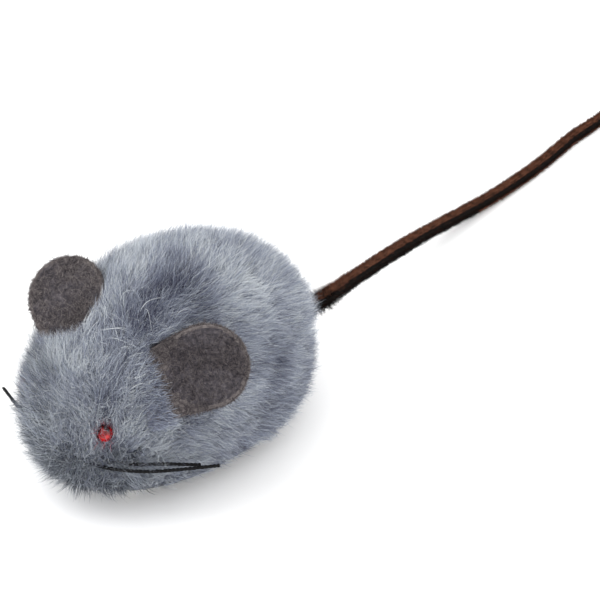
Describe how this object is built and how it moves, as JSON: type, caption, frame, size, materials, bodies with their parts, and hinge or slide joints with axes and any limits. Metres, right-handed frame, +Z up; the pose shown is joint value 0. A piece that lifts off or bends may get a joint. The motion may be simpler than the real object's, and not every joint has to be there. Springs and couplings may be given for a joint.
{
  "type": "clockwork plush mouse",
  "caption": "Wind-up mouse in a long-pile fur coat with felt ears, bead eyes, thread whiskers, a suede lace tail, a side key and wheels underneath.",
  "frame": {"origin": "on the floor under the middle of the body, at the centre of the bounding box without the tail", "axes": "+Z up, nose towards -Y, tail towards +Y, the mouse's left side towards +X; all shafts lie along X"},
  "size_m": [0.0635, 0.2288, 0.0518],
  "materials": {
    "fur": "long pile faux fur, blue grey",
    "felt": "wool felt, warm dark grey",
    "suede": "suede lace, dark brown",
    "thread": "twisted cotton thread, black",
    "red_bead": "clear red, faceted",
    "dark_plastic": "moulded, satin",
    "grey_plastic": "moulded, satin",
    "white_plastic": "moulded",
    "rubber": "soft, matt",
    "steel": "plain",
    "spring_steel": "blued",
    "brass": "stamped"
  },
  "bodies": {
    "chassis": {"fur_coat": "fur", "ear_left": "felt", "ear_right": "felt", "tail": "suede", "whisker_thread_lower": "thread", "whisker_thread_upper": "thread", "eye_bead_left": "red_bead", "eye_bead_right": "red_bead", "eye_pin_left": "steel", "eye_pin_right": "steel", "base_pan": "dark_plastic", "top_shell": "grey_plastic", "tail_clip": "dark_plastic", "shell_screw_1": "steel", "shell_screw_2": "steel", "shell_screw_3": "steel", "motor_plate_left": "steel", "motor_plate_right": "steel", "motor_pillar_1": "steel", "motor_pillar_2": "steel", "motor_pillar_3": "steel", "motor_pillar_4": "steel", "mainspring": "spring_steel"},
    "winder": {"winding_arbor": "steel", "ratchet_wheel": "steel", "winding_key": "brass"},
    "great_wheel_set": {"great_wheel": "brass", "click": "spring_steel", "click_rivet": "steel"},
    "second_shaft": {"second_arbor": "steel", "second_pinion": "steel", "second_wheel": "brass"},
    "drive_axle_set": {"drive_axle": "steel", "axle_pinion": "brass", "drive_wheel_left": "white_plastic", "drive_wheel_right": "white_plastic", "drive_tyre_left": "rubber", "drive_tyre_right": "rubber"},
    "front_axle_set": {"front_axle": "steel", "front_wheel_left": "white_plastic", "front_wheel_right": "white_plastic"}
  },
  "joints": [
    {"name": "key_wind", "type": "hinge", "parent": "chassis", "child": "winder", "pos_m": [0, 0.002, 0.02], "axis": [1, 0, 0], "range_deg": [0, 1350], "deforming": ["mainspring", "click"]},
    {"name": "drive_axle_spin", "type": "hinge", "parent": "chassis", "child": "drive_axle_set", "pos_m": [0, 0.012, 0.008], "axis": [1, 0, 0], "continuous": true},
    {"name": "second_shaft_spin", "type": "hinge", "parent": "chassis", "child": "second_shaft", "pos_m": [0, 0.0143, 0.01978], "axis": [1, 0, 0], "continuous": true},
    {"name": "great_wheel_spin", "type": "hinge", "parent": "chassis", "child": "great_wheel_set", "pos_m": [0, 0.002, 0.02], "axis": [1, 0, 0], "continuous": true},
    {"name": "front_axle_spin", "type": "hinge", "parent": "chassis", "child": "front_axle_set", "pos_m": [0, -0.018, 0.0055], "axis": [1, 0, 0], "continuous": true}
  ],
  "couplings": [
    {"joint": "second_shaft_spin", "follows": "drive_axle_spin", "ratio": -0.33333},
    {"joint": "great_wheel_spin", "follows": "drive_axle_spin", "ratio": 0.09375}
  ]
}
